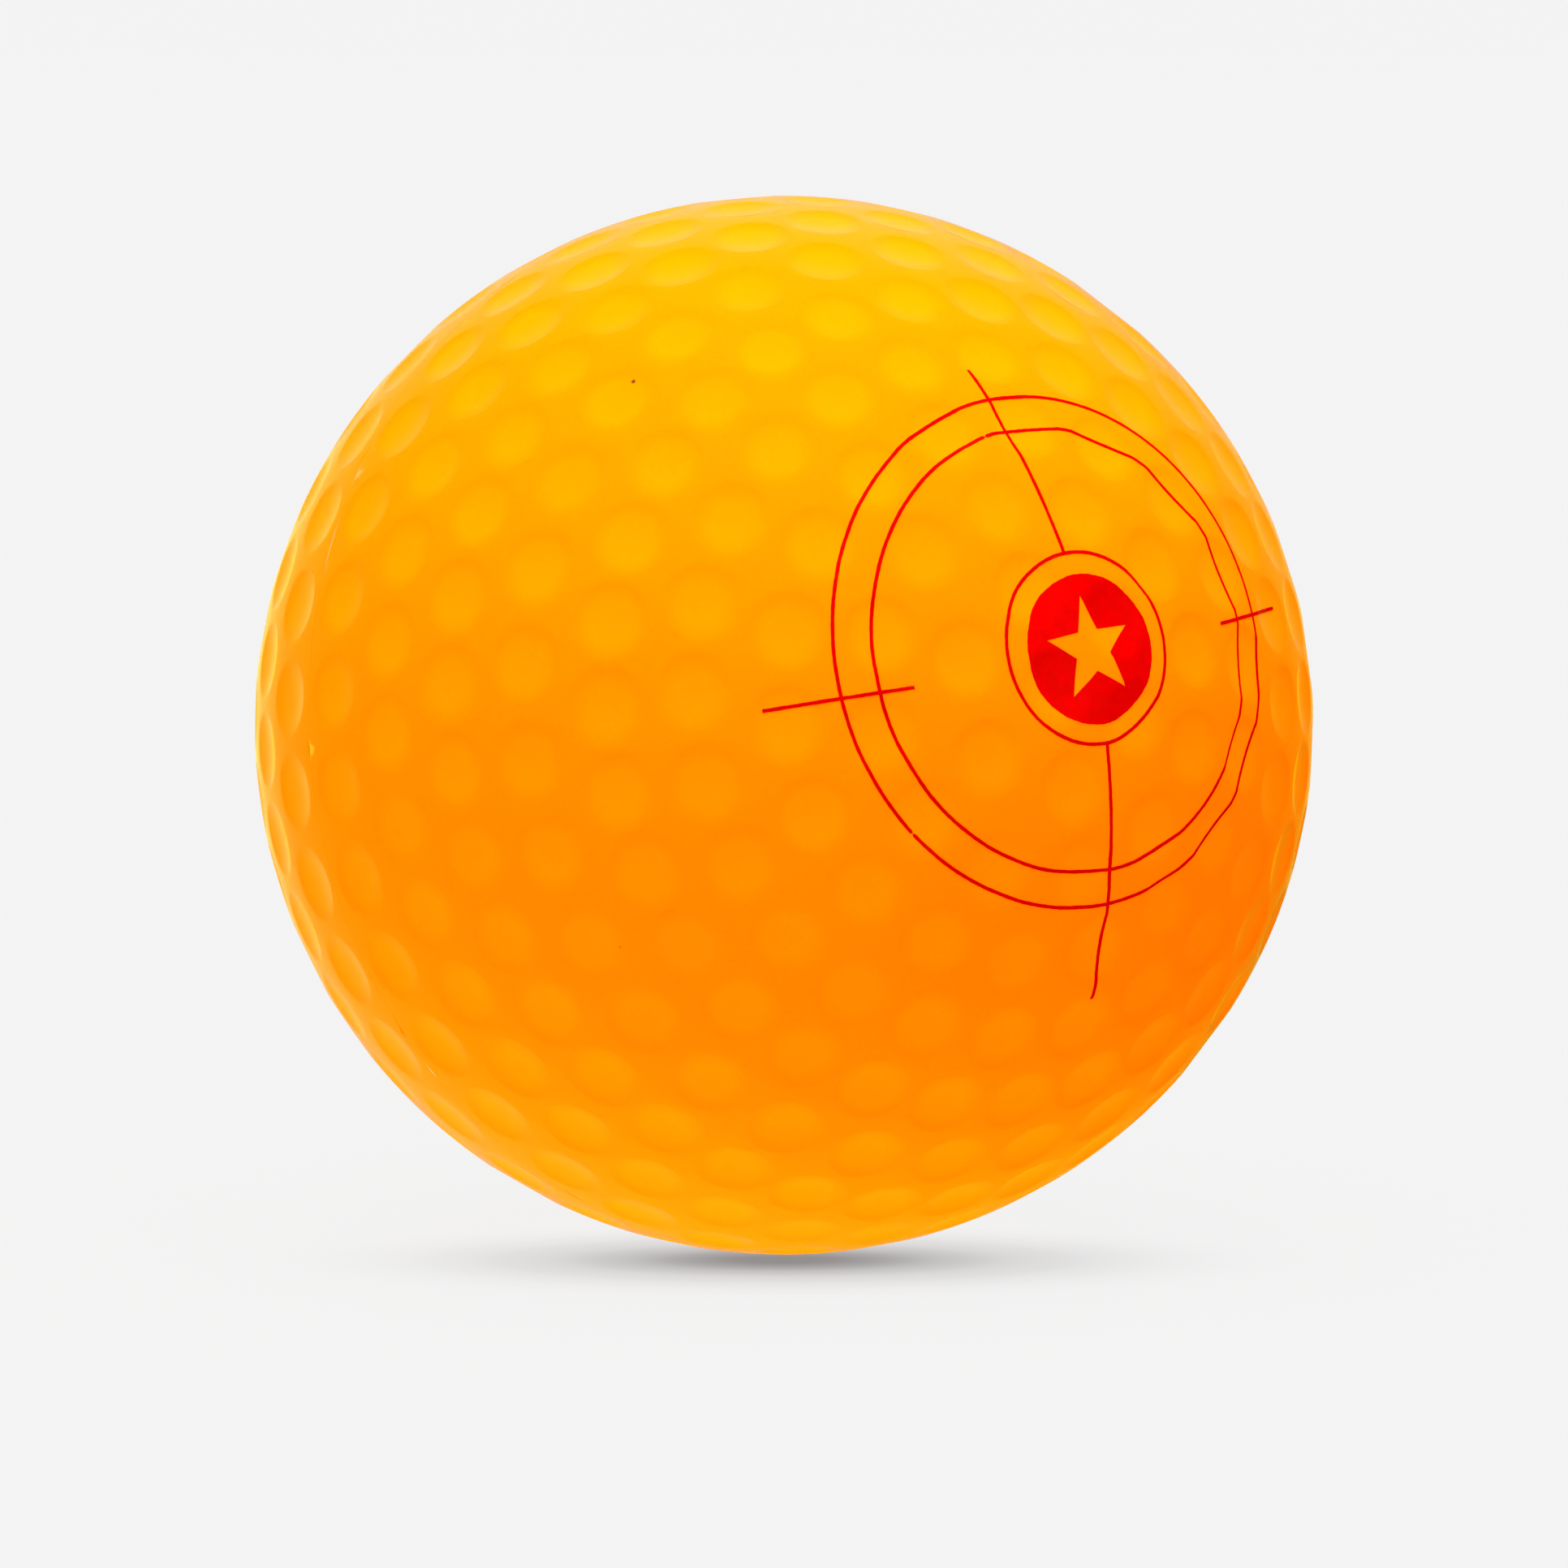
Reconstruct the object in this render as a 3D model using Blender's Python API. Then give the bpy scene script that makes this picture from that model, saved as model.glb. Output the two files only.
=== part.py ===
"""Golf ball: a solid rubber core, a mantle, a dimpled cover moulded in two halves, and the printed marks.

Run with: blender --background --python part.py
Units are metres and +Z is up. The ball's centre is the origin. The pole of the dimple pattern faces
-Y, tipped a little upwards, and the parting line is the great circle halfway between the two poles.
"""

import math

import bmesh
import bpy
from mathutils import Matrix, Vector

# The ball, from the outside in.
BALL_RADIUS = 0.021335
COVER_THICKNESS = 0.0016
MANTLE_THICKNESS = 0.0012
LAYER_GAP = 0.0002
SEAM_GAP = 0.00004

# The dimples: one on the pole and nine rows round it, mirrored across the parting line.
ROW_COUNTS = (6, 12, 18, 24, 30, 30, 36, 36, 36)
ROW_STAGGERS = (0.6, 0.2, 0.0, 0.5, 0.5, 0.0, 0.0, 0.5, 0.0)
FIRST_ROW_ANGLE = math.radians(10.6)
ROW_PITCH_ANGLE = math.radians(9.27)
ROW_TURN = math.radians(4.3)
DIMPLE_ANGLE = math.radians(4.1)
DIMPLE_DEPTH = 0.00020
DIMPLE_SIDES = 8

# How the ball lies: the height of its pole, and the printed mark's place beside the pole.
POLE_TILT = math.radians(8.2)
PRINT_OFFSET_ANGLE = math.radians(6.15)
PRINT_OFFSET_TURN = math.radians(44.5)
PRINT_TWIST = math.radians(7.8)

# The printed mark, as angles seen from the ball's centre.
DISC_ANGLE = math.radians(7.9)
STAR_POINTS = 5
STAR_ANGLE = math.radians(5.6)
STAR_WAIST = 0.42
RING_ANGLES = {
    "ink_ring_inner": math.radians(10.05),
    "ink_ring_middle": math.radians(23.8),
    "ink_ring_outer": math.radians(27.75),
}
ARMS = {
    "ink_arm_upper": (math.radians(0.0), math.radians(10.2), math.radians(32.6)),
    "ink_arm_left": (math.radians(90.0), math.radians(20.6), math.radians(36.3)),
    "ink_arm_lower": (math.radians(180.0), math.radians(10.2), math.radians(37.9)),
    "ink_arm_right": (math.radians(270.0), math.radians(20.3), math.radians(35.4)),
}
LINE_WIDTH = 0.00014
INK_THICKNESS = 0.00004
DISC_LIFT = 0.00003
RING_LIFT = 0.00003
ARM_LIFT = 0.00009

# How finely the round shapes are divided.
SHELL_SEGMENTS = 36
SHELL_RINGS = 17
CORE_SEGMENTS = 36
CORE_RINGS = 18
RING_STEPS = 80
DISC_STEPS = 48
DISC_BANDS = 4
ARM_STEP_ANGLE = math.radians(2.0)

COVER_INNER_RADIUS = BALL_RADIUS - COVER_THICKNESS
MANTLE_RADIUS = COVER_INNER_RADIUS - LAYER_GAP
MANTLE_INNER_RADIUS = MANTLE_RADIUS - MANTLE_THICKNESS
CORE_RADIUS = MANTLE_INNER_RADIUS - LAYER_GAP


def clear_scene():
    for obj in list(bpy.data.objects):
        bpy.data.objects.remove(obj, do_unlink=True)


def new_collection(name):
    collection = bpy.data.collections.new(name)
    bpy.context.scene.collection.children.link(collection)
    return collection


def new_material(name, color, roughness, metallic=0.0, coat=0.0):
    material = bpy.data.materials.new(name)
    material.use_nodes = True
    shader = material.node_tree.nodes["Principled BSDF"]
    shader.inputs["Base Color"].default_value = (*color, 1.0)
    shader.inputs["Roughness"].default_value = roughness
    shader.inputs["Metallic"].default_value = metallic
    shader.inputs["Coat Weight"].default_value = coat
    material.diffuse_color = (*color, 1.0)
    return material


def new_object(name, bm, collection, parent, material=None):
    """A named object that takes its shape from bm, shaded smooth apart from its hard edges."""
    bmesh.ops.recalc_face_normals(bm, faces=bm.faces[:])
    mesh = bpy.data.meshes.new(name)
    bm.to_mesh(mesh)
    bm.free()
    obj = bpy.data.objects.new(name, mesh)
    collection.objects.link(obj)
    obj.parent = parent
    if material:
        mesh.materials.append(material)
        mesh.shade_smooth()
        mesh.set_sharp_from_angle(angle=math.radians(35))
    return obj


def new_empty(name, collection, parent=None):
    empty = bpy.data.objects.new(name, None)
    empty.empty_display_size = BALL_RADIUS / 4
    collection.objects.link(empty)
    empty.parent = parent
    return empty


def cut(obj, cutter):
    modifier = obj.modifiers.new(f"cut_{cutter.name}", "BOOLEAN")
    modifier.operation = "DIFFERENCE"
    modifier.solver = "EXACT"
    modifier.object = cutter


def as_cutter(obj):
    obj.hide_render = True
    obj.display_type = "WIRE"
    return obj


def swing(colatitude, turn):
    """The rotation that tips +Z by colatitude towards the given turn about the pole."""
    return (
        Matrix.Rotation(turn, 4, "Z")
        @ Matrix.Rotation(colatitude, 4, "Y")
        @ Matrix.Rotation(-turn, 4, "Z")
    )


def dimple_places():
    """One rotation for each dimple, from the pole to where that dimple sits."""
    places = [swing(0.0, 0.0), swing(math.pi, 0.0)]
    for row, (count, stagger) in enumerate(zip(ROW_COUNTS, ROW_STAGGERS)):
        colatitude = FIRST_ROW_ANGLE + row * ROW_PITCH_ANGLE
        for step in range(count):
            turn = ROW_TURN + (step + stagger) * math.tau / count
            places.append(swing(colatitude, turn))
            places.append(swing(math.pi - colatitude, turn))
    return places


def dimpled_ball():
    """A full ball with every dimple pressed in, made at unit radius and scaled at the end."""
    bm = bmesh.new()
    tag = bm.verts.layers.int.new("dimple")
    rim = Matrix.Translation((0.0, 0.0, math.cos(DIMPLE_ANGLE)))
    for index, place in enumerate(dimple_places(), start=1):
        circle = bmesh.ops.create_circle(
            bm,
            segments=DIMPLE_SIDES,
            radius=math.sin(DIMPLE_ANGLE),
            matrix=place @ rim,
        )
        for vertex in circle["verts"]:
            vertex[tag] = index
    bmesh.ops.convex_hull(bm, input=bm.verts[:])
    floors = {}
    for face in bm.faces:
        tags = {vertex[tag] for vertex in face.verts}
        if len(tags) == 1:
            floors.setdefault(tags.pop(), []).append(face)
    every_floor = [face for faces in floors.values() for face in faces]
    flat = bmesh.ops.dissolve_faces(bm, faces=every_floor)["region"]
    sink = DIMPLE_DEPTH / BALL_RADIUS - (1.0 - math.cos(DIMPLE_ANGLE))
    bmesh.ops.recalc_face_normals(bm, faces=bm.faces[:])
    bmesh.ops.poke(bm, faces=flat, offset=-sink, center_mode="MEAN")
    bmesh.ops.scale(bm, verts=bm.verts[:], vec=Vector((BALL_RADIUS,) * 3))
    return bm


def plain_ball(radius, segments, rings):
    bm = bmesh.new()
    bmesh.ops.create_uvsphere(bm, u_segments=segments, v_segments=rings, radius=radius)
    return bm


def half_space(side):
    """A block that covers everything on the other side of the parting plane from the given side."""
    bm = bmesh.new()
    bmesh.ops.create_cube(bm, size=3 * BALL_RADIUS)
    middle = -side * (1.5 * BALL_RADIUS - SEAM_GAP / 2)
    bmesh.ops.translate(bm, verts=bm.verts[:], vec=Vector((0.0, 0.0, middle)))
    return bm


def on_meridian(radius, angle):
    return Vector((radius * math.sin(angle), 0.0, radius * math.cos(angle)))


def line_section(angle, lift):
    """The cross-section of a printed line, across the meridian at the given angle from the print's axis."""
    half = LINE_WIDTH / 2 / BALL_RADIUS
    low = BALL_RADIUS + lift
    high = low + INK_THICKNESS
    return [
        on_meridian(low, angle - half),
        on_meridian(high, angle - half),
        on_meridian(high, angle + half),
        on_meridian(low, angle + half),
    ]


def ink_ring(angle):
    """A printed circle: the line's cross-section turned once round the print's axis."""
    bm = bmesh.new()
    corners = [bm.verts.new(point) for point in line_section(angle, RING_LIFT)]
    edges = [bm.edges.new((a, b)) for a, b in zip(corners, corners[1:] + corners[:1])]
    bmesh.ops.spin(
        bm,
        geom=corners + edges,
        cent=(0.0, 0.0, 0.0),
        axis=(0.0, 0.0, 1.0),
        angle=math.tau,
        steps=RING_STEPS,
    )
    bmesh.ops.remove_doubles(bm, verts=bm.verts[:], dist=1e-7)
    return bm


def ink_arm(start, end):
    """A printed straight line: its end face swept along a great circle, from start to end."""
    bm = bmesh.new()
    low = BALL_RADIUS + ARM_LIFT
    high = low + INK_THICKNESS
    half = LINE_WIDTH / 2
    section = [(-half, low), (half, low), (half, high), (-half, high)]
    corners = [bm.verts.new((x, 0.0, z)) for x, z in section]
    face = bm.faces.new(corners)
    turn_to_start = Matrix.Rotation(-start, 3, "X")
    bmesh.ops.rotate(bm, verts=bm.verts[:], cent=(0.0, 0.0, 0.0), matrix=turn_to_start)
    bmesh.ops.spin(
        bm,
        geom=[face],
        cent=(0.0, 0.0, 0.0),
        axis=(1.0, 0.0, 0.0),
        angle=start - end,
        steps=math.ceil((end - start) / ARM_STEP_ANGLE),
    )
    return bm


def ink_disc():
    """The printed disc: a thin cap turned round the print's axis."""
    bm = bmesh.new()
    low = BALL_RADIUS + DISC_LIFT
    high = low + INK_THICKNESS
    angles = [DISC_ANGLE * band / DISC_BANDS for band in range(DISC_BANDS + 1)]
    outline = [on_meridian(low, angle) for angle in angles]
    outline += [on_meridian(high, angle) for angle in reversed(angles)]
    corners = [bm.verts.new(point) for point in outline]
    edges = [bm.edges.new((a, b)) for a, b in zip(corners, corners[1:])]
    bmesh.ops.spin(
        bm,
        geom=corners + edges,
        cent=(0.0, 0.0, 0.0),
        axis=(0.0, 0.0, 1.0),
        angle=math.tau,
        steps=DISC_STEPS,
    )
    bmesh.ops.remove_doubles(bm, verts=bm.verts[:], dist=1e-7)
    return bm


def star_prism():
    """The star left bare in the middle of the disc, as a prism that goes right through it."""
    bm = bmesh.new()
    corners = []
    for step in range(2 * STAR_POINTS):
        reach = BALL_RADIUS * math.sin(STAR_ANGLE) * (1.0 if step % 2 == 0 else STAR_WAIST)
        turn = math.pi / 2 + step * math.pi / STAR_POINTS
        corners.append(bm.verts.new((reach * math.cos(turn), reach * math.sin(turn), 0.9 * BALL_RADIUS)))
    face = bm.faces.new(corners)
    top = bmesh.ops.extrude_face_region(bm, geom=[face])["geom"]
    lifted = [item for item in top if isinstance(item, bmesh.types.BMVert)]
    bmesh.ops.translate(bm, verts=lifted, vec=Vector((0.0, 0.0, 0.2 * BALL_RADIUS)))
    return bm


def main():
    clear_scene()
    parts = new_collection("golf_ball")
    cutters = new_collection("cutters")

    cover_orange = new_material("cover_orange", (0.95, 0.30, 0.01), 0.22, coat=0.6)
    mantle_ivory = new_material("mantle_ivory", (0.80, 0.77, 0.66), 0.45)
    core_rubber = new_material("core_rubber", (0.10, 0.22, 0.30), 0.75)
    ink_red = new_material("ink_red", (0.80, 0.01, 0.01), 0.30, coat=0.6)

    ball_axis = new_empty("ball_axis", parts)
    ball_axis.rotation_euler = (math.pi / 2 - POLE_TILT, 0.0, 0.0)

    cover_cavity = as_cutter(
        new_object(
            "cover_cavity",
            plain_ball(COVER_INNER_RADIUS, SHELL_SEGMENTS, SHELL_RINGS),
            cutters,
            ball_axis,
        )
    )
    mantle_cavity = as_cutter(
        new_object(
            "mantle_cavity",
            plain_ball(MANTLE_INNER_RADIUS, SHELL_SEGMENTS, SHELL_RINGS),
            cutters,
            ball_axis,
        )
    )
    for name, side in (("front", 1), ("rear", -1)):
        block = as_cutter(new_object(f"beyond_{name}", half_space(side), cutters, ball_axis))
        cover = new_object(f"cover_half_{name}", dimpled_ball(), parts, ball_axis, cover_orange)
        cut(cover, cover_cavity)
        cut(cover, block)
        mantle_shape = plain_ball(MANTLE_RADIUS, SHELL_SEGMENTS, SHELL_RINGS)
        mantle = new_object(f"mantle_half_{name}", mantle_shape, parts, ball_axis, mantle_ivory)
        cut(mantle, mantle_cavity)
        cut(mantle, block)

    new_object(
        "core",
        plain_ball(CORE_RADIUS, CORE_SEGMENTS, CORE_RINGS),
        parts,
        ball_axis,
        core_rubber,
    )

    print_axis = new_empty("print_axis", parts, ball_axis)
    place = swing(PRINT_OFFSET_ANGLE, PRINT_OFFSET_TURN)
    print_axis.rotation_euler = (place @ Matrix.Rotation(PRINT_TWIST, 4, "Z")).to_euler()

    disc = new_object("ink_disc", ink_disc(), parts, print_axis, ink_red)
    star = as_cutter(new_object("bare_star", star_prism(), cutters, print_axis))
    cut(disc, star)
    for name, angle in RING_ANGLES.items():
        new_object(name, ink_ring(angle), parts, print_axis, ink_red)
    for name, (turn, start, end) in ARMS.items():
        arm = new_object(name, ink_arm(start, end), parts, print_axis, ink_red)
        arm.rotation_euler = (0.0, 0.0, turn)


main()
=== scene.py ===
import math

import bmesh
import bpy
import numpy as np
from mathutils import Matrix, Vector
from mathutils.geometry import delaunay_2d_cdt


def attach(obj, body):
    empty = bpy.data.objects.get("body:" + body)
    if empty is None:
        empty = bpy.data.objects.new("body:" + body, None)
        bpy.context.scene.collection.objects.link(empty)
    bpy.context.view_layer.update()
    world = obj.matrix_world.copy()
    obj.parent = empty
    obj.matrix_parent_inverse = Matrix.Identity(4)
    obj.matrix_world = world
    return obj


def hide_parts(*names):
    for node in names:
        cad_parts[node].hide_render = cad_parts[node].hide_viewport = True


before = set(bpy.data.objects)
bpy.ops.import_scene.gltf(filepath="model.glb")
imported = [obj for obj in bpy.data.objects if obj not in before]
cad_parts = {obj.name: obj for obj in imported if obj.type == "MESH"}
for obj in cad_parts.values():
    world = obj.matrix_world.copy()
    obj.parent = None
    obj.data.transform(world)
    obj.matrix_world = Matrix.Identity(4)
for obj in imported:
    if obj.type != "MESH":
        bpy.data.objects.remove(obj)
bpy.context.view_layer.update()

MM = 0.001

# The ball's own size: the land between the dimples is a sphere of this radius.
RADIUS = 21.335 * MM
CAVITY_RADIUS = RADIUS - 1.6 * MM

# The dimple pattern, as the part's source lays it out.
ROW_COUNTS = (6, 12, 18, 24, 30, 30, 36, 36, 36)
ROW_STAGGERS = (0.6, 0.2, 0.0, 0.5, 0.5, 0.0, 0.0, 0.5, 0.0)
FIRST_ROW_ANGLE = math.radians(10.6)
ROW_PITCH_ANGLE = math.radians(9.27)
ROW_TURN = math.radians(4.3)
DIMPLE_ANGLE = math.radians(4.1)
DIMPLE_DEPTH = 0.20 * MM
RIM_SOFTNESS = 0.012 * MM

# The parting line: how far from it the groove's shoulder and the first ring of land are, half the
# groove's width, and how deep it goes before the flats that meet.
SEAM_SHOULDER = 0.014 * MM
SEAM_LAND = 0.09 * MM
SEAM_HALF_GAP = 0.006 * MM
SEAM_DEPTH = 0.03 * MM
LAND_ABOVE_SEAM = 0.011
LAND_CLEARANCE = 1.17

# How the ball lies, and where the print sits.
POLE_TILT = math.radians(8.2)
PRINT_OFFSET_ANGLE = math.radians(6.15)
PRINT_OFFSET_TURN = math.radians(44.5)
PRINT_TWIST = math.radians(7.8)
STAR_ANGLE = math.radians(5.6)
STAR_WAIST = 0.42

# The print lies a little out of register, as degrees over the ball from its axis: towards turn 0, and
# towards turn 90. A disc or ring has its radius and its centre. An arm has its two ends.
DISC = (7.88, (0.49, -0.46))
RINGS = {
    "ink_ring_inner": (10.06, (0.32, -0.26)),
    "ink_ring_middle": (24.01, (0.00, 0.29)),
    "ink_ring_outer": (27.88, (-0.16, 0.41)),
}
ARMS = {
    "ink_arm_upper": ((0.20, 9.85), (-0.60, 32.5)),
    "ink_arm_left": ((-20.4, -0.57), (-36.2, 0.50)),
    "ink_arm_lower": ((0.25, -10.3), (-0.40, -38.7)),
    "ink_arm_right": ((20.5, -0.55), (35.2, 0.20)),
}
# Places where a printed line is broken, by colatitude and turn about the pole.
BREAKS = ((21.5, -138.0), (27.8, 95.4))
LINE_WIDTH = 0.145 * MM
STROKE_STEP = 0.09 * MM
BREAK_REACH = 0.3 * MM
BREAK_WIDTH = 0.05
INK_LIFT = 0.012 * MM
ARM_LIFT = 0.016 * MM
INK_SINK = 0.004 * MM

# Small marks on the cover, by colatitude and turn about the pole in degrees. Specks of dirt have their
# size in millimetres, and shreds of flash on the parting line their half-length and their height.
# The last two specks and the last shred are on the side that the photo doesn't show, and are made up.
SPECKS = (
    (56.9, 132.9, 0.10),
    (44.2, -175.3, 0.06),
    (54.1, -149.7, 0.05),
    (43.7, 89.6, 0.045),
    (118.0, 40.0, 0.07),
    (134.0, -78.0, 0.06),
)
FLASH = (
    (149.9, 1.3, 0.011),
    (158.1, 2.8, 0.014),
    (217.2, 0.7, 0.016),
    (301.0, 1.6, 0.014),
)

# How finely the cover is divided.
RIM_SIDES = 32
BOWL_RINGS = (1.07, 1.0, 0.93, 0.84, 0.68, 0.48, 0.25)
LAND_POINTS = 30000
SEAM_SIDES = 480
INSIDE_RINGS = np.radians(np.arange(9, 90, 9))
DISC_SIDES = 180
DISC_GRID = 58
DISC_MARGIN = 0.26
STAR_STEPS = 9
SHARP_ANGLE = math.radians(40)

# How much of each bowl's own shading is evened out towards that of the whole ball.
NORMAL_SPREAD = 0.38
FLASH_FULL_TONE = 0.02 * MM

# The camera: the direction and distance the ball is seen from.
VIEW_AZIMUTH = math.radians(-29.5)
VIEW_ELEVATION = math.radians(5.0)
VIEW_DISTANCE = 16.0 * RADIUS
BALL_SHARE = 2 * 652.4 / 1932
BALL_RISE = 72.2 / 1932

# The light: wide soft lamps far away, by azimuth, elevation, half-width in degrees and radiance, and a
# pale room, by azimuth, elevation, spread and radiance of each of its brighter or darker sides. They
# are fitted to the photo's brightness. The camera sees a flat backdrop in place of the room.
BACKDROP = 0.896
LAMP_DISTANCE = 40.0
LAMPS = {
    "studio_light_above": (-11.0, 76.0, 29.3, 6.25),
    "studio_light_fill": (47.0, 15.0, 25.8, 1.34),
    "studio_light_table": (-68.0, -66.0, 47.9, 1.81),
    "studio_light_behind": (-160.0, -35.0, 30.0, 2.6),
}
ROOM_DARK = 0.03
ROOM_SIDES = (
    (-155.0, -14.0, 0.15, 0.68),
    (180.0, 30.0, 0.15, 1.1),
    (160.0, 38.0, 0.05, 0.3),
    (155.0, -33.0, 0.11, -0.8),
)

# The floor glows, and is painted darker in an ellipse under the ball, since it takes no shadow: how
# much narrower the ellipse is towards the camera, how far it is moved that way, and its shades, both
# in ball radii.
FLOOR_RADIUS = 6.0
FLOOR_SIDES = 96
FLOOR_GLOW = 0.878
FLOOR_BASE = 0.012
PATCH_STRETCH = 2.0
PATCH_SHIFT = 0.14
PATCH_SHADES = (
    (0.0, 0.30),
    (0.12, 0.35),
    (0.25, 0.54),
    (0.40, 0.74),
    (0.56, 0.86),
    (0.70, 0.94),
    (0.85, 0.985),
    (1.0, 1.0),
)


def swing(colatitude, turn):
    """The rotation that tips +Z by colatitude towards the given turn about the pole."""
    return np.array(
        Matrix.Rotation(turn, 3, "Z")
        @ Matrix.Rotation(colatitude, 3, "Y")
        @ Matrix.Rotation(-turn, 3, "Z")
    )


def dimple_turns():
    """One rotation for each dimple, which takes +Z to the dimple's middle."""
    places = [swing(0.0, 0.0), swing(math.pi, 0.0)]
    for row, (count, stagger) in enumerate(zip(ROW_COUNTS, ROW_STAGGERS)):
        colatitude = FIRST_ROW_ANGLE + row * ROW_PITCH_ANGLE
        for step in range(count):
            turn = ROW_TURN + (step + stagger) * math.tau / count
            places.append(swing(colatitude, turn))
            places.append(swing(math.pi - colatitude, turn))
    return np.array(places)


POLE_TO_ROW = np.array(Matrix.Rotation(math.pi / 2 - POLE_TILT, 3, "X"))
PRINT_TO_POLE = swing(PRINT_OFFSET_ANGLE, PRINT_OFFSET_TURN) @ np.array(
    Matrix.Rotation(PRINT_TWIST, 3, "Z")
)
DIMPLES = dimple_turns()
CENTRES = DIMPLES[:, :, 2]
RANDOM = np.random.default_rng(7)
DIMPLE_TONES_AND_HIGHLIGHT = RANDOM.normal(0.0, 1.0, len(DIMPLES))
# One bowl beside the print is clearly paler: a painted highlight.
DIMPLE_TONES_AND_HIGHLIGHT[(CENTRES @ swing(math.radians(10.6), math.radians(153.0))[:, 2]).argmax()] = 3.2


def polar(angle, turn):
    """Unit vectors at an angle from +Z, in the direction of turn."""
    angle, turn = np.broadcast_arrays(angle, turn)
    return np.stack(
        [np.sin(angle) * np.cos(turn), np.sin(angle) * np.sin(turn), np.cos(angle)], axis=-1
    )


def nearest_dimple(directions):
    """For each direction, its nearest dimple and its distance from that one's middle, in rim radii."""
    index = np.empty(len(directions), int)
    reach = np.empty(len(directions))
    for start in range(0, len(directions), 20000):
        part = slice(start, start + 20000)
        dots = directions[part] @ CENTRES.T
        index[part] = dots.argmax(axis=1)
        reach[part] = np.arccos(np.clip(dots.max(axis=1), -1, 1)) / DIMPLE_ANGLE
    return index, reach


def surface_radius(directions):
    """How far the cover's surface is from the ball's centre: a round bowl with a softened rim."""
    reach = nearest_dimple(directions)[1]
    bowl = DIMPLE_DEPTH * (1 - reach**2)
    sunk = (bowl + np.sqrt(bowl**2 + RIM_SOFTNESS**2)) / 2
    return RADIUS - sunk


def smooth_step(value):
    value = np.clip(value, 0, 1)
    return value * value * (3 - 2 * value)


def new_piece(node, made, points, faces, material):
    """A mesh piece in the row frame that stands for a CAD node. The points come in the pole's frame."""
    name = f"{node}_{made}"
    mesh = bpy.data.meshes.new(name)
    mesh.from_pydata((points @ POLE_TO_ROW.T).tolist(), [], faces)
    mesh.validate()
    mesh.shade_smooth()
    mesh.materials.append(material)
    obj = bpy.data.objects.new(name, mesh)
    bpy.context.scene.collection.objects.link(obj)
    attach(obj, "root")
    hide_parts(node)
    return obj


def hull_faces(directions):
    """The triangles of the hull of points on the unit sphere, which are those of its surface."""
    bm = bmesh.new()
    for direction in directions:
        bm.verts.new(direction)
    bm.verts.index_update()
    bmesh.ops.convex_hull(bm, input=bm.verts[:])
    faces = np.array([[vertex.index for vertex in face.verts] for face in bm.faces])
    bm.free()
    corners = directions[faces]
    normals = np.cross(corners[:, 1] - corners[:, 0], corners[:, 2] - corners[:, 0])
    inward = (normals * corners.mean(axis=1)).sum(axis=1) < 0
    faces[inward] = faces[inward][:, ::-1]
    return faces


def land_directions(side):
    """Evenly spread directions on one half, away from the dimples and the parting line."""
    step = np.arange(LAND_POINTS) + 0.5
    height = 1 - 2 * step / LAND_POINTS
    turn = step * math.pi * (3 - math.sqrt(5))
    across = np.sqrt(1 - height**2)
    spread = np.stack([across * np.cos(turn), across * np.sin(turn), height], axis=-1)
    spread = spread[spread[:, 2] * side > LAND_ABOVE_SEAM]
    return spread[nearest_dimple(spread)[1] > LAND_CLEARANCE]


def seam_flash(turn):
    """How high the flash stands along the parting line: none for most of it, and a few thin shreds."""
    lift = np.zeros_like(turn)
    for middle, half, height in FLASH:
        away = (np.degrees(turn) - middle + 180) % 360 - 180
        lift = np.maximum(lift, height * MM * smooth_step(1.6 * (1 - np.abs(away) / half)))
    return lift


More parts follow.
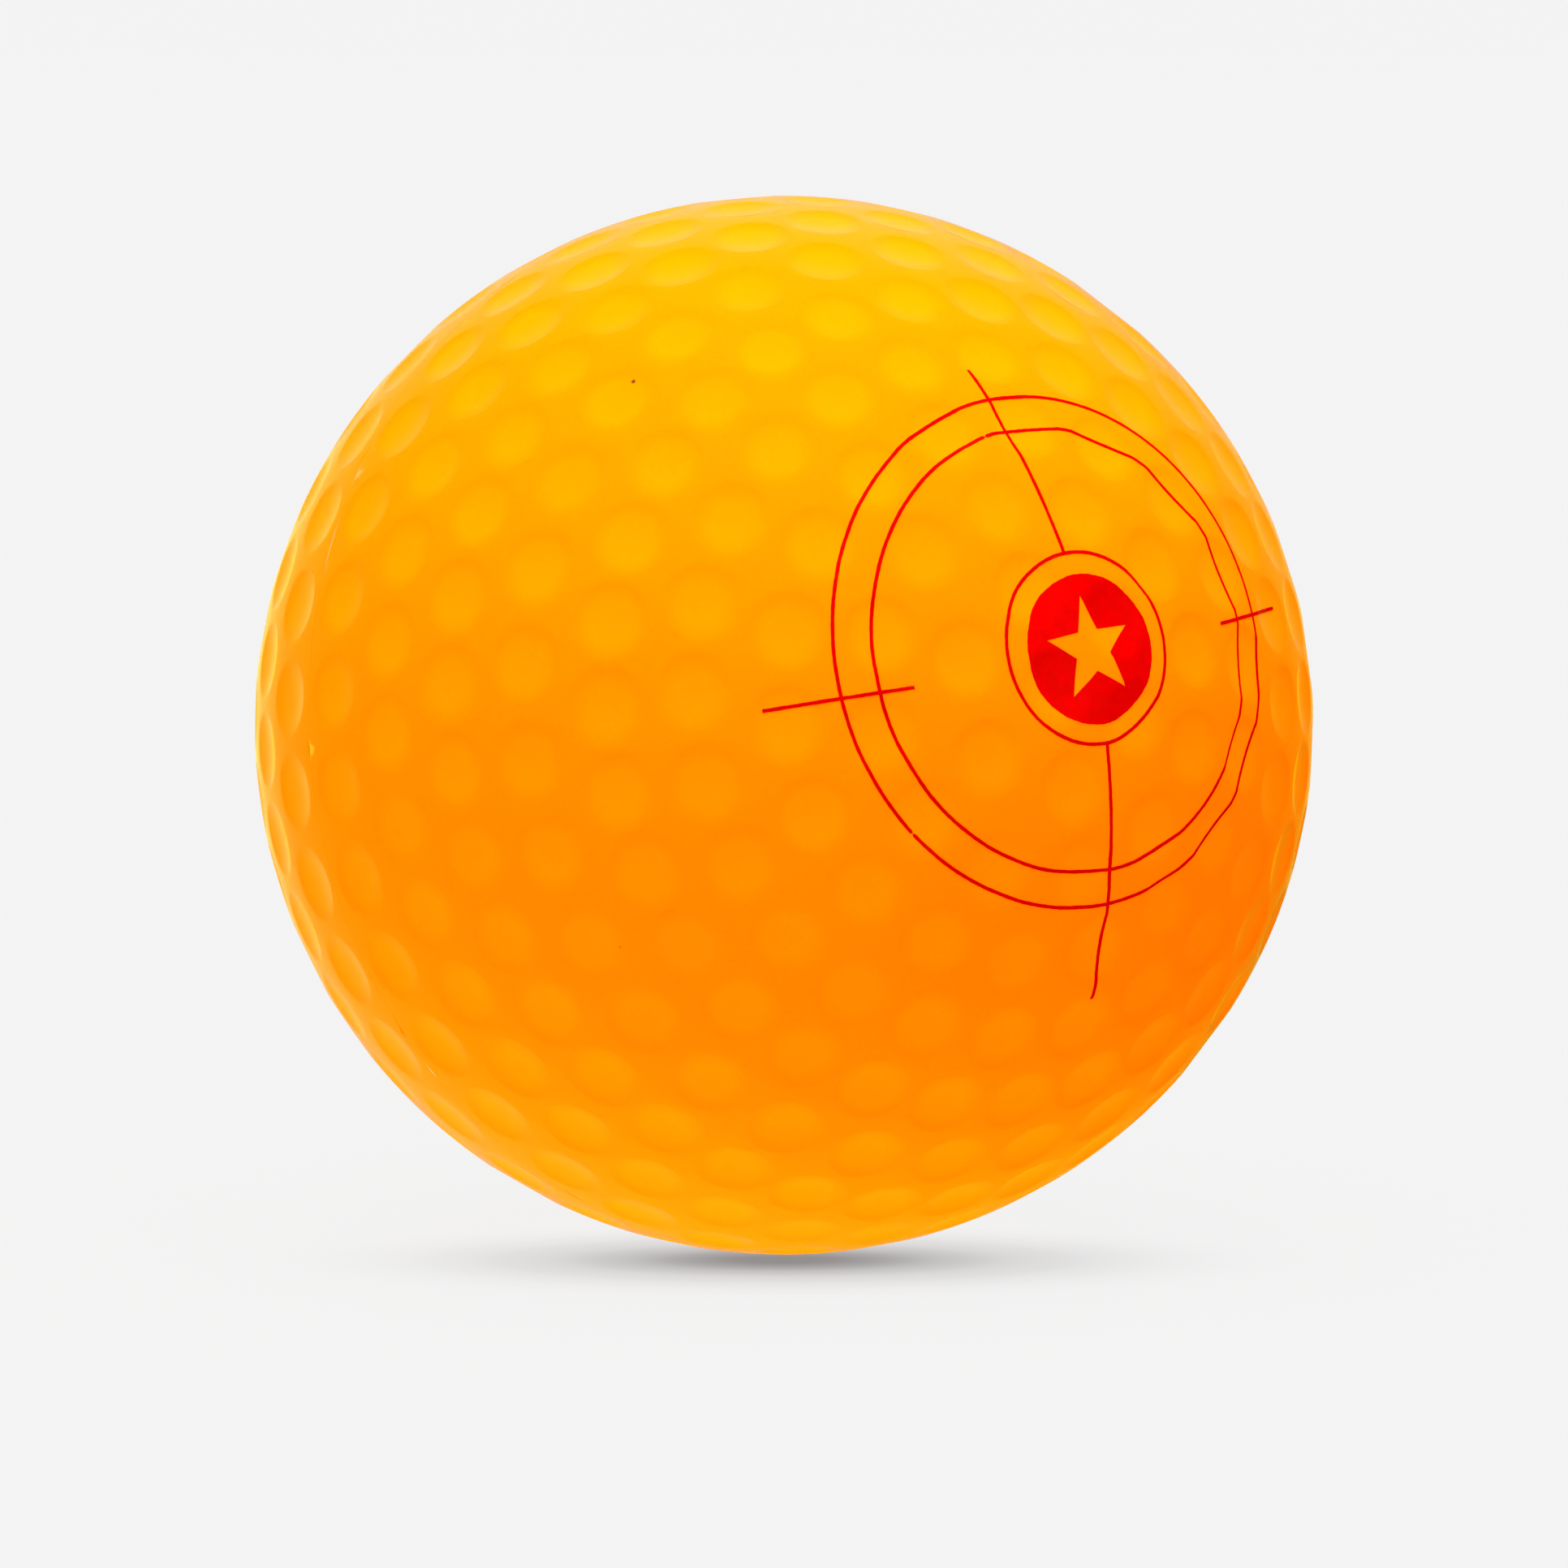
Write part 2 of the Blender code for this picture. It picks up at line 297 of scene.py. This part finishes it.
def cover_half(name, side, material):
    """One half of the cover: dimpled outside, grooved at the parting line, and plain inside."""
    mine = np.flatnonzero(CENTRES[:, 2] * side > 0)
    around = np.arange(RIM_SIDES) * math.tau / RIM_SIDES
    rings = [polar(share * DIMPLE_ANGLE, around) for share in BOWL_RINGS]
    template = np.concatenate(rings + [polar(0.0, np.zeros(1))])
    bowls = np.einsum("nij,pj->npi", DIMPLES[mine], template)
    size = len(template)
    turn = np.arange(SEAM_SIDES) * math.tau / SEAM_SIDES
    shoulder = polar(math.pi / 2 - side * SEAM_SHOULDER / RADIUS, turn)
    first_land = polar(math.pi / 2 - side * SEAM_LAND / RADIUS, turn)
    land = np.concatenate([first_land, land_directions(side)])

    rims = bowls[:, :RIM_SIDES].reshape(-1, 3)
    hull = hull_faces(np.concatenate([rims, shoulder, land]))
    count = len(rims)
    owner = np.full(count + SEAM_SIDES + len(land), -1)
    owner[:count] = np.repeat(np.arange(len(mine)), RIM_SIDES)
    owner[count : count + SEAM_SIDES] = len(mine)
    same = (owner[hull[:, 0]] == owner[hull[:, 1]]) & (owner[hull[:, 1]] == owner[hull[:, 2]])
    hull = hull[~(same & (owner[hull[:, 0]] >= 0))]

    outside = np.concatenate([bowls.reshape(-1, 3), shoulder, land])
    rim_index = (np.arange(len(mine))[:, None] * size + np.arange(RIM_SIDES)).reshape(-1)
    offset = len(mine) * size
    renumber = np.concatenate([rim_index, offset + np.arange(SEAM_SIDES + len(land))])
    faces = renumber[hull].tolist()

    this = np.arange(RIM_SIDES)
    after = (this + 1) % RIM_SIDES
    for bowl in range(len(mine)):
        base = bowl * size
        for ring in range(len(BOWL_RINGS) - 1):
            low = base + ring * RIM_SIDES
            high = low + RIM_SIDES
            quads = np.stack([low + this, low + after, high + after, high + this], axis=1)
            faces += quads.tolist()
        last = base + (len(BOWL_RINGS) - 1) * RIM_SIDES
        middle = np.full(RIM_SIDES, base + size - 1)
        faces += np.stack([last + this, last + after, middle], axis=1).tolist()

    radius = surface_radius(outside)
    flash = seam_flash(turn) if side > 0 else np.zeros(SEAM_SIDES)
    radius[offset : offset + SEAM_SIDES] += flash
    points = outside * radius[:, None]

    # The groove's wall, the flat that meets the other half, and the inside.
    layers = [(RADIUS - SEAM_DEPTH, SEAM_HALF_GAP), (CAVITY_RADIUS, SEAM_HALF_GAP)]
    layers += [(CAVITY_RADIUS * math.cos(a), CAVITY_RADIUS * math.sin(a)) for a in INSIDE_RINGS]
    below = offset + np.arange(SEAM_SIDES)
    start = len(points)
    walls = []
    for across, up in layers:
        level = np.full(SEAM_SIDES, side * up)
        walls.append(np.stack([across * np.cos(turn), across * np.sin(turn), level], axis=1))
        above = start + np.arange(SEAM_SIDES)
        quads = np.stack([below, above, np.roll(above, -1), np.roll(below, -1)], axis=1)
        faces += (quads[:, ::-1] if side < 0 else quads).tolist()
        below = above
        start += SEAM_SIDES
    walls.append(np.array([[0.0, 0.0, side * CAVITY_RADIUS]]))
    fan = np.stack([below, np.full(SEAM_SIDES, start), np.roll(below, -1)], axis=1)
    faces += (fan[:, ::-1] if side < 0 else fan).tolist()
    points = np.concatenate([points] + walls)

    obj = new_piece(name, "moulded", points, faces, material)
    index, reach = nearest_dimple(points / np.linalg.norm(points, axis=1)[:, None])
    flash_tone = np.zeros(len(points))
    flash_tone[offset : offset + SEAM_SIDES] = flash / FLASH_FULL_TONE
    for label, values in (
        ("bowl", smooth_step((1.02 - reach) / 0.52)),
        ("tone_and_highlight", np.where(reach < 1.1, DIMPLE_TONES_AND_HIGHLIGHT[index], 0.0)),
        ("flash", flash_tone),
    ):
        attribute = obj.data.attributes.new(label, "FLOAT", "POINT")
        attribute.data.foreach_set("value", values.astype(np.float32))
    obj.data.set_sharp_from_angle(angle=SHARP_ANGLE)
    return obj


def wobble(along, seed):
    """A slow, slight irregularity for printed edges, from -1 to 1."""
    rng = np.random.default_rng(seed)
    total = np.zeros_like(along)
    for pitch in (0.35, 0.8, 1.9):
        total += np.sin(along / (pitch * MM) * math.tau + rng.uniform(0, math.tau)) / 3
    return total


def printed(places):
    """Directions in the pole's frame of places on the print, each given in degrees over the ball."""
    reach = np.radians(np.hypot(places[:, 0], places[:, 1]))
    return polar(reach, np.arctan2(places[:, 1], places[:, 0])) @ PRINT_TO_POLE.T


def ink_line(name, places, closed, material, seed, lift):
    """A printed line over the dimpled surface, through places on the print."""
    middle = printed(places)
    ahead = np.roll(middle, -1, axis=0) - np.roll(middle, 1, axis=0)
    if not closed:
        ahead[0] = middle[1] - middle[0]
        ahead[-1] = middle[-1] - middle[-2]
    across = np.cross(middle, ahead)
    across /= np.linalg.norm(across, axis=1)[:, None]
    step = np.linalg.norm(np.diff(middle, axis=0, prepend=middle[:1]), axis=1)
    along = np.cumsum(step) * RADIUS
    whole = np.ones(len(middle))
    for colatitude, turn in BREAKS:
        place = polar(math.radians(colatitude), math.radians(turn))
        gap = np.linalg.norm(middle - place, axis=1) * RADIUS
        if gap.min() < BREAK_REACH:
            whole[gap.argmin()] = BREAK_WIDTH
    points = []
    for edge, height in ((-1, 0), (1, 0), (1, 1), (-1, 1)):
        half = LINE_WIDTH / 2 * (1 + 0.13 * wobble(along, seed + edge)) * whole / RADIUS
        directions = middle + across * (edge * half)[:, None]
        directions /= np.linalg.norm(directions, axis=1)[:, None]
        level = surface_radius(directions) + (lift if height else -INK_SINK)
        points.append(directions * level[:, None])
    points = np.stack(points, axis=1).reshape(-1, 3)
    faces = []
    count = len(middle)
    for i in range(count if closed else count - 1):
        a, b = 4 * i, 4 * ((i + 1) % count)
        for j in range(4):
            k = (j + 1) % 4
            faces.append((a + j, a + k, b + k, b + j))
    if not closed:
        faces += [(3, 2, 1, 0), tuple(4 * (count - 1) + j for j in range(4))]
    return outward(new_piece(name, "printed", points, faces, material))


def outward(obj):
    bm = bmesh.new()
    bm.from_mesh(obj.data)
    bmesh.ops.recalc_face_normals(bm, faces=bm.faces[:])
    bm.to_mesh(obj.data)
    bm.free()
    obj.data.set_sharp_from_angle(angle=SHARP_ANGLE)
    return obj


def star_outline(count):
    """Points along the sides of a five-pointed star, in degrees over the ball."""
    corners = []
    for step in range(10):
        reach = math.degrees(STAR_ANGLE) * (1.0 if step % 2 == 0 else STAR_WAIST)
        turn = math.pi / 2 + step * math.pi / 5
        corners.append((reach * math.cos(turn), reach * math.sin(turn)))
    corners = np.array(corners)
    sides = []
    for a, b in zip(corners, np.roll(corners, -1, axis=0)):
        share = np.arange(count)[:, None] / count
        sides.append(a + (b - a) * share)
    return np.concatenate(sides)


def ring_places(radius, centre, count, roughness=0.0, seed=0):
    turn = np.arange(count) * math.tau / count
    reach = radius * (1 + roughness * wobble(turn * math.radians(radius) * RADIUS, seed))
    return np.stack([centre[0] + reach * np.cos(turn), centre[1] + reach * np.sin(turn)], axis=1)


def ink_disc(name, material, lift):
    """The printed disc round a bare star, laid over the dimples."""
    radius, centre = DISC
    rim = ring_places(radius, (0.0, 0.0), DISC_SIDES, 0.006, 3)
    star = star_outline(STAR_STEPS)
    grid = np.linspace(-radius, radius, DISC_GRID)
    most = radius - DISC_MARGIN
    fill = np.array([(x, y) for x in grid for y in grid if math.hypot(x, y) < most])
    flat = np.concatenate([rim, star, fill])
    first = list(range(len(rim)))
    second = list(range(len(rim), len(rim) + len(star)))
    edges = [(a, b) for loop in (first, second) for a, b in zip(loop, loop[1:] + loop[:1])]
    points, _, triangles, *_ = delaunay_2d_cdt([Vector(p) for p in flat], edges, [], 0, 1e-7)
    points = np.array([tuple(p) for p in points])
    triangles = np.array(triangles)
    middles = points[triangles].mean(axis=1)
    triangles = triangles[inside(middles, rim) & ~inside(middles, star)]
    used = np.unique(triangles)
    renumber = np.full(len(points), -1)
    renumber[used] = np.arange(len(used))
    triangles = renumber[triangles]
    directions = printed(points[used] + np.array(centre))
    level = surface_radius(directions)
    top = directions * (level + lift)[:, None]
    bottom = directions * (level - INK_SINK)[:, None]
    count = len(used)
    faces = triangles.tolist() + (triangles[:, ::-1] + count).tolist()
    ends = np.concatenate([triangles[:, [0, 1]], triangles[:, [1, 2]], triangles[:, [2, 0]]])
    known = {tuple(end) for end in ends.tolist()}
    faces += [(b, a, a + count, b + count) for a, b in known if (b, a) not in known]
    points = np.concatenate([top, bottom])
    return outward(new_piece(name, "printed", points, faces, material))


def inside(points, outline):
    """Which points lie inside a closed outline."""
    result = np.zeros(len(points), bool)
    for (x0, y0), (x1, y1) in zip(outline, np.roll(outline, -1, axis=0)):
        crosses = (y0 > points[:, 1]) != (y1 > points[:, 1])
        if y0 != y1:
            at = x0 + (points[:, 1] - y0) / (y1 - y0) * (x1 - x0)
            result ^= crosses & (points[:, 0] < at)
    return result


class Shader:
    """A small help for writing node trees."""

    def __init__(self, name):
        self.material = bpy.data.materials.new(name)
        self.material.use_nodes = True
        self.tree = self.material.node_tree
        self.bsdf = self.tree.nodes["Principled BSDF"]

    def node(self, kind, **settings):
        made = self.tree.nodes.new(kind)
        for key, value in settings.items():
            setattr(made, key, value)
        return made

    def link(self, source, target):
        self.tree.links.new(source, target)

    def place(self):
        return self.node("ShaderNodeTexCoord").outputs["Object"]

    def noise(self, scale, detail=3.0, rough=0.5):
        made = self.node("ShaderNodeTexNoise")
        made.inputs["Scale"].default_value = scale
        made.inputs["Detail"].default_value = detail
        made.inputs["Roughness"].default_value = rough
        self.link(self.place(), made.inputs["Vector"])
        return made.outputs["Fac"]

    def remap(self, value, low, high, to_low, to_high):
        made = self.node("ShaderNodeMapRange")
        made.inputs["From Min"].default_value = low
        made.inputs["From Max"].default_value = high
        made.inputs["To Min"].default_value = to_low
        made.inputs["To Max"].default_value = to_high
        self.link(value, made.inputs["Value"])
        return made.outputs["Result"]

    def math(self, operation, a, b):
        made = self.node("ShaderNodeMath", operation=operation)
        for socket, value in zip(made.inputs, (a, b)):
            if isinstance(value, (int, float)):
                socket.default_value = value
            else:
                self.link(value, socket)
        return made.outputs[0]

    def mix(self, share, a, b, blend="MIX"):
        made = self.node("ShaderNodeMix", data_type="RGBA", blend_type=blend)
        for label, value in (("Factor", share), ("A", a), ("B", b)):
            socket = made.inputs[label]
            if isinstance(value, tuple):
                socket.default_value = (*value, 1.0)
            elif isinstance(value, float):
                socket.default_value = value
            else:
                self.link(value, socket)
        return made.outputs["Result"]

    def attribute(self, name):
        return self.node("ShaderNodeAttribute", attribute_name=name).outputs["Fac"]

    def bump(self, height, strength, distance):
        made = self.node("ShaderNodeBump")
        made.inputs["Strength"].default_value = strength
        made.inputs["Distance"].default_value = distance
        self.link(height, made.inputs["Height"])
        self.link(made.outputs["Normal"], self.bsdf.inputs["Normal"])

    def set(self, **values):
        for name, value in values.items():
            self.bsdf.inputs[name.replace("_", " ")].default_value = value


def cover_material():
    """Orange moulded cover under a clear coat, paler in the bowls, where it is thinner.

    Its red glow stands for fluorescent dye: the photo's red is clipped nearly all over the cover. Its
    red glow is painted light, not a lamp: it keeps the red near full strength nearly all over the
    cover, in shade too.
    """
    s = Shader("cover_orange_coated")
    bowl = s.attribute("bowl")
    # Bowl tones differ at random, and the one clearly paler bowl is a painted highlight.
    tone_and_highlight = s.remap(s.attribute("tone_and_highlight"), -2.5, 2.5, 0.72, 1.28)
    color = s.mix(s.math("MULTIPLY", bowl, tone_and_highlight), (0.93, 0.312, 0.0), (0.95, 0.352, 0.0))
    cloud = s.remap(s.noise(85.0, 2.0), 0.3, 0.7, 0.0, 1.0)
    color = s.mix(cloud, color, s.mix(1.0, color, (1.0, 1.05, 1.0), "MULTIPLY"))
    grain = s.remap(s.noise(5200.0, 2.0, 0.6), 0.3, 0.7, 0.0, 1.0)
    color = s.mix(grain, color, s.mix(1.0, color, (1.0, 1.03, 1.0), "MULTIPLY"))
    # The cover's red emission is a painted glow: it brightens the red in shade as well as in light.
    painted_light_glow = (1.0, 0.0, 0.0)
    for colatitude, turn, size in SPECKS:
        spot = s.node("ShaderNodeVectorMath", operation="DISTANCE")
        s.link(s.place(), spot.inputs[0])
        middle = polar(math.radians(colatitude), math.radians(turn)) @ POLE_TO_ROW.T
        spot.inputs[1].default_value = (middle * (RADIUS - DIMPLE_DEPTH / 2)).tolist()
        dark = s.remap(spot.outputs["Value"], 0.5 * size * MM, 1.3 * size * MM, 0.9, 0.0)
        color = s.mix(dark, color, (0.05, 0.02, 0.01))
        painted_light_glow = s.mix(dark, painted_light_glow, (0.0, 0.0, 0.0))
    color = s.mix(s.attribute("flash"), color, (1.0, 0.64, 0.28))
    s.link(color, s.bsdf.inputs["Base Color"])
    # Light spreads inside the cover, so its shade partly follows the whole ball, not each bowl's wall.
    facing = s.node("ShaderNodeNewGeometry").outputs["Normal"]
    radial = s.node(
        "ShaderNodeVectorTransform", vector_type="NORMAL", convert_from="OBJECT", convert_to="WORLD"
    )
    s.link(s.place(), radial.inputs["Vector"])
    outward_part = s.node("ShaderNodeVectorMath", operation="NORMALIZE")
    s.link(radial.outputs["Vector"], outward_part.inputs[0])
    spread = s.node("ShaderNodeMix", data_type="VECTOR")
    spread.inputs["Factor"].default_value = NORMAL_SPREAD
    s.link(facing, spread.inputs["A"])
    s.link(outward_part.outputs["Vector"], spread.inputs["B"])
    even = s.node("ShaderNodeVectorMath", operation="NORMALIZE")
    s.link(spread.outputs["Result"], even.inputs[0])
    s.link(even.outputs["Vector"], s.bsdf.inputs["Normal"])
    skin = s.node("ShaderNodeBump")
    skin.inputs["Strength"].default_value = 0.08
    skin.inputs["Distance"].default_value = 0.00004
    s.link(s.noise(1400.0, 2.0), skin.inputs["Height"])
    s.link(skin.outputs["Normal"], s.bsdf.inputs["Coat Normal"])
    s.set(Roughness=0.6, Specular_IOR_Level=0.0)
    s.set(Coat_Weight=1.0, Coat_IOR=1.05, Coat_Roughness=0.11)
    s.set(Subsurface_Weight=0.25, Subsurface_Radius=(1.0, 0.6, 0.1), Subsurface_Scale=0.0010)
    s.set(Sheen_Weight=0.6, Sheen_Roughness=0.3, Sheen_Tint=(1.0, 0.7, 0.0, 1.0))
    # Painted glow: red emission, though the cover is no lamp.
    s.link(painted_light_glow, s.bsdf.inputs["Emission Color"])
    s.set(Emission_Strength=0.6)
    return s.material


def ink_material(name, strong, weak, painted_light_glow):
    """Red pad-printed ink, a little uneven in strength. It gives off a little painted red glow, as the
    cover does.
    """
    s = Shader(name)
    cloud = s.remap(s.noise(1800.0, 3.0), 0.3, 0.75, 0.0, 1.0)
    color = s.mix(cloud, strong, weak)
    grain = s.remap(s.noise(16000.0, 2.0), 0.35, 0.65, 0.0, 0.4)
    color = s.mix(grain, color, s.mix(1.0, color, (1.15, 1.0, 1.0), "MULTIPLY"))
    s.link(color, s.bsdf.inputs["Base Color"])
    s.link(s.remap(s.noise(2500.0, 2.0), 0.3, 0.7, 0.16, 0.26), s.bsdf.inputs["Roughness"])
    s.bump(s.noise(9000.0, 2.0), 0.15, 0.00002)
    # The red emission is a painted glow, though the ink is no lamp.
    s.set(IOR=1.05, Emission_Color=(1.0, 0.0, 0.0, 1.0), Emission_Strength=painted_light_glow)
    return s.material


def mantle_material():
    """Moulded ivory plastic with faint flow marks."""
    s = Shader("mantle_ivory_moulded")
    flow = s.remap(s.noise(160.0, 4.0, 0.6), 0.3, 0.7, 0.0, 1.0)
    s.link(s.mix(flow, (0.80, 0.76, 0.64), (0.71, 0.66, 0.53)), s.bsdf.inputs["Base Color"])
    s.link(s.remap(s.noise(700.0), 0.3, 0.7, 0.38, 0.55), s.bsdf.inputs["Roughness"])
    s.bump(s.noise(1800.0), 0.25, 0.00005)
    return s.material


def core_material():
    """Moulded rubber with a mottled, slightly dusty skin."""
    s = Shader("core_rubber_moulded")
    mottle = s.remap(s.noise(240.0, 5.0, 0.65), 0.3, 0.7, 0.0, 1.0)
    color = s.mix(mottle, (0.06, 0.15, 0.22), (0.12, 0.25, 0.33))
    dust = s.remap(s.noise(6000.0, 3.0), 0.55, 0.75, 0.0, 0.35)
    s.link(s.mix(dust, color, (0.45, 0.50, 0.52)), s.bsdf.inputs["Base Color"])
    s.link(s.remap(s.noise(900.0), 0.3, 0.7, 0.6, 0.85), s.bsdf.inputs["Roughness"])
    s.bump(s.noise(2600.0), 0.4, 0.00008)
    return s.material


def build_ball():
    cover = cover_material()
    cover_half("cover_half_front", 1, cover)
    cover_half("cover_half_rear", -1, cover)
    # The last number given to each ink is the strength of its painted red glow.
    solid = ink_material("ink_red_solid", (0.66, 0.0, 0.0), (0.52, 0.001, 0.0), 0.33)
    ink_disc("ink_disc", solid, INK_LIFT)
    line = ink_material("ink_red_line", (0.58, 0.0, 0.0), (0.47, 0.004, 0.0), 0.31)
    for seed, (name, (radius, centre)) in enumerate(RINGS.items()):
        steps = round(math.tau * math.sin(math.radians(radius)) * RADIUS / STROKE_STEP)
        ink_line(name, ring_places(radius, centre, steps), True, line, 11 + 7 * seed, INK_LIFT)
    for seed, (name, (start, end)) in enumerate(ARMS.items()):
        start, end = np.array(start), np.array(end)
        steps = round(math.radians(np.linalg.norm(end - start)) * RADIUS / STROKE_STEP)
        share = np.linspace(0, 1, steps)[:, None]
        ink_line(name, start + (end - start) * share, False, line, 41 + 7 * seed, ARM_LIFT)
    mantle = mantle_material()
    for name, material in (
        ("core", core_material()),
        ("mantle_half_front", mantle),
        ("mantle_half_rear", mantle),
    ):
        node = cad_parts[name]
        node.data.materials.clear()
        node.data.materials.append(material)


def build_stage():
    """A wide pale floor of lit acrylic, painted darker where the ball rests on it."""
    bm = bmesh.new()
    bmesh.ops.create_circle(bm, cap_ends=True, radius=FLOOR_RADIUS, segments=FLOOR_SIDES)
    mesh = bpy.data.meshes.new("studio_floor")
    bm.to_mesh(mesh)
    bm.free()
    mesh.shade_smooth()
    floor = bpy.data.objects.new("studio_floor", mesh)
    floor.location = (0.0, 0.0, -RADIUS)
    floor.rotation_euler.z = VIEW_AZIMUTH
    bpy.context.scene.collection.objects.link(floor)
    s = Shader("studio_floor_acrylic")
    shift = s.node("ShaderNodeVectorMath", operation="MULTIPLY_ADD")
    s.link(s.place(), shift.inputs[0])
    shift.inputs[1].default_value = (1.0, PATCH_STRETCH, 1.0)
    shift.inputs[2].default_value = (0.0, PATCH_STRETCH * PATCH_SHIFT * RADIUS, 0.0)
    away = s.node("ShaderNodeVectorMath", operation="LENGTH")
    s.link(shift.outputs["Vector"], away.inputs[0])
    shade = s.node("ShaderNodeValToRGB")
    ramp = shade.color_ramp
    ramp.interpolation = "CARDINAL"
    while len(ramp.elements) < len(PATCH_SHADES):
        ramp.elements.new(0.5)
    for element, (position, value) in zip(ramp.elements, PATCH_SHADES):
        element.position = position
        element.color = (value, value, value, 1.0)
    s.link(s.remap(away.outputs["Value"], 0.0, RADIUS, 0.0, 1.0), shade.inputs["Fac"])
    painted_light_glow = s.mix(1.0, shade.outputs["Color"], (FLOOR_GLOW, FLOOR_GLOW, FLOOR_GLOW), "MULTIPLY")
    s.link(painted_light_glow, s.bsdf.inputs["Emission Color"])
    s.set(Base_Color=(FLOOR_BASE, FLOOR_BASE, FLOOR_BASE, 1.0), Emission_Strength=1.0)
    s.set(Roughness=1.0, Specular_IOR_Level=0.0)
    mesh.materials.append(s.material)
    floor.visible_diffuse = False
    floor.visible_glossy = False
    floor.visible_shadow = False


def heading(azimuth, elevation):
    """A direction given from the camera's side, azimuth positive towards the picture's right."""
    turn = VIEW_AZIMUTH + math.radians(azimuth)
    lift = math.radians(elevation)
    return (math.sin(turn) * math.cos(lift), -math.cos(turn) * math.cos(lift), math.sin(lift))


def build_light():
    """Soft lamps above, beside, under and behind the ball, in a room with brighter sides behind it."""
    world = bpy.data.worlds.new("studio_air")
    world.use_nodes = True
    tree = world.node_tree
    back = tree.nodes["Background"]
    place = tree.nodes.new("ShaderNodeTexCoord").outputs["Generated"]

    def math_node(operation, a, b):
        made = tree.nodes.new("ShaderNodeMath")
        made.operation = operation
        for socket, value in zip(made.inputs, (a, b)):
            if isinstance(value, (int, float)):
                socket.default_value = value
            else:
                tree.links.new(value, socket)
        return made.outputs[0]

    def lobe(azimuth, elevation, width, strength):
        dot = tree.nodes.new("ShaderNodeVectorMath")
        dot.operation = "DOT_PRODUCT"
        tree.links.new(place, dot.inputs[0])
        dot.inputs[1].default_value = heading(azimuth, elevation)
        fall = math_node("DIVIDE", math_node("SUBTRACT", dot.outputs["Value"], 1.0), width)
        return math_node("MULTIPLY", math_node("EXPONENT", fall, 0.0), strength)

    total = ROOM_DARK
    for values in ROOM_SIDES:
        total = math_node("ADD", lobe(*values), total)
    light = math_node("MAXIMUM", total, ROOM_DARK)
    rays = tree.nodes.new("ShaderNodeLightPath").outputs["Is Camera Ray"]
    backdrop = math_node("MULTIPLY", rays, BACKDROP)
    room = math_node("MULTIPLY", math_node("SUBTRACT", 1.0, rays), light)
    tree.links.new(math_node("ADD", backdrop, room), back.inputs["Strength"])
    back.inputs["Color"].default_value = (1.0, 1.0, 1.0, 1.0)
    bpy.context.scene.world = world

    for name, (azimuth, elevation, half, radiance) in LAMPS.items():
        data = bpy.data.lights.new(name, "AREA")
        data.shape = "DISK"
        data.size = 2 * LAMP_DISTANCE * math.tan(math.radians(half))
        data.energy = radiance * math.pi * math.pi * data.size**2 / 4
        lamp = bpy.data.objects.new(name, data)
        toward = Vector(heading(azimuth, elevation))
        lamp.location = toward * LAMP_DISTANCE
        lamp.rotation_euler = toward.to_track_quat("Z", "Y").to_euler()
        lamp.visible_glossy = False
        lamp.visible_camera = False
        bpy.context.scene.collection.objects.link(lamp)


def build_camera():
    back = Vector(
        (
            math.sin(VIEW_AZIMUTH) * math.cos(VIEW_ELEVATION),
            -math.cos(VIEW_AZIMUTH) * math.cos(VIEW_ELEVATION),
            math.sin(VIEW_ELEVATION),
        )
    )
    data = bpy.data.cameras.new("studio_camera")
    data.sensor_width = 36.0
    edge = math.tan(math.asin(RADIUS / VIEW_DISTANCE))
    data.lens = 36.0 * BALL_SHARE / 2 / edge
    data.clip_start = 0.01
    data.clip_end = 50.0
    camera = bpy.data.objects.new("studio_camera", data)
    bpy.context.scene.collection.objects.link(camera)
    drop = VIEW_DISTANCE * BALL_RISE * 36.0 / data.lens
    look = (-back).to_track_quat("-Z", "Y")
    aim = look @ Vector((0.0, -drop, 0.0))
    camera.location = back * VIEW_DISTANCE
    direction = aim - camera.location
    camera.rotation_euler = direction.to_track_quat("-Z", "Y").to_euler()
    bpy.context.scene.camera = camera
    bpy.context.scene.view_settings.view_transform = "Standard"


build_ball()
build_stage()
build_light()
build_camera()
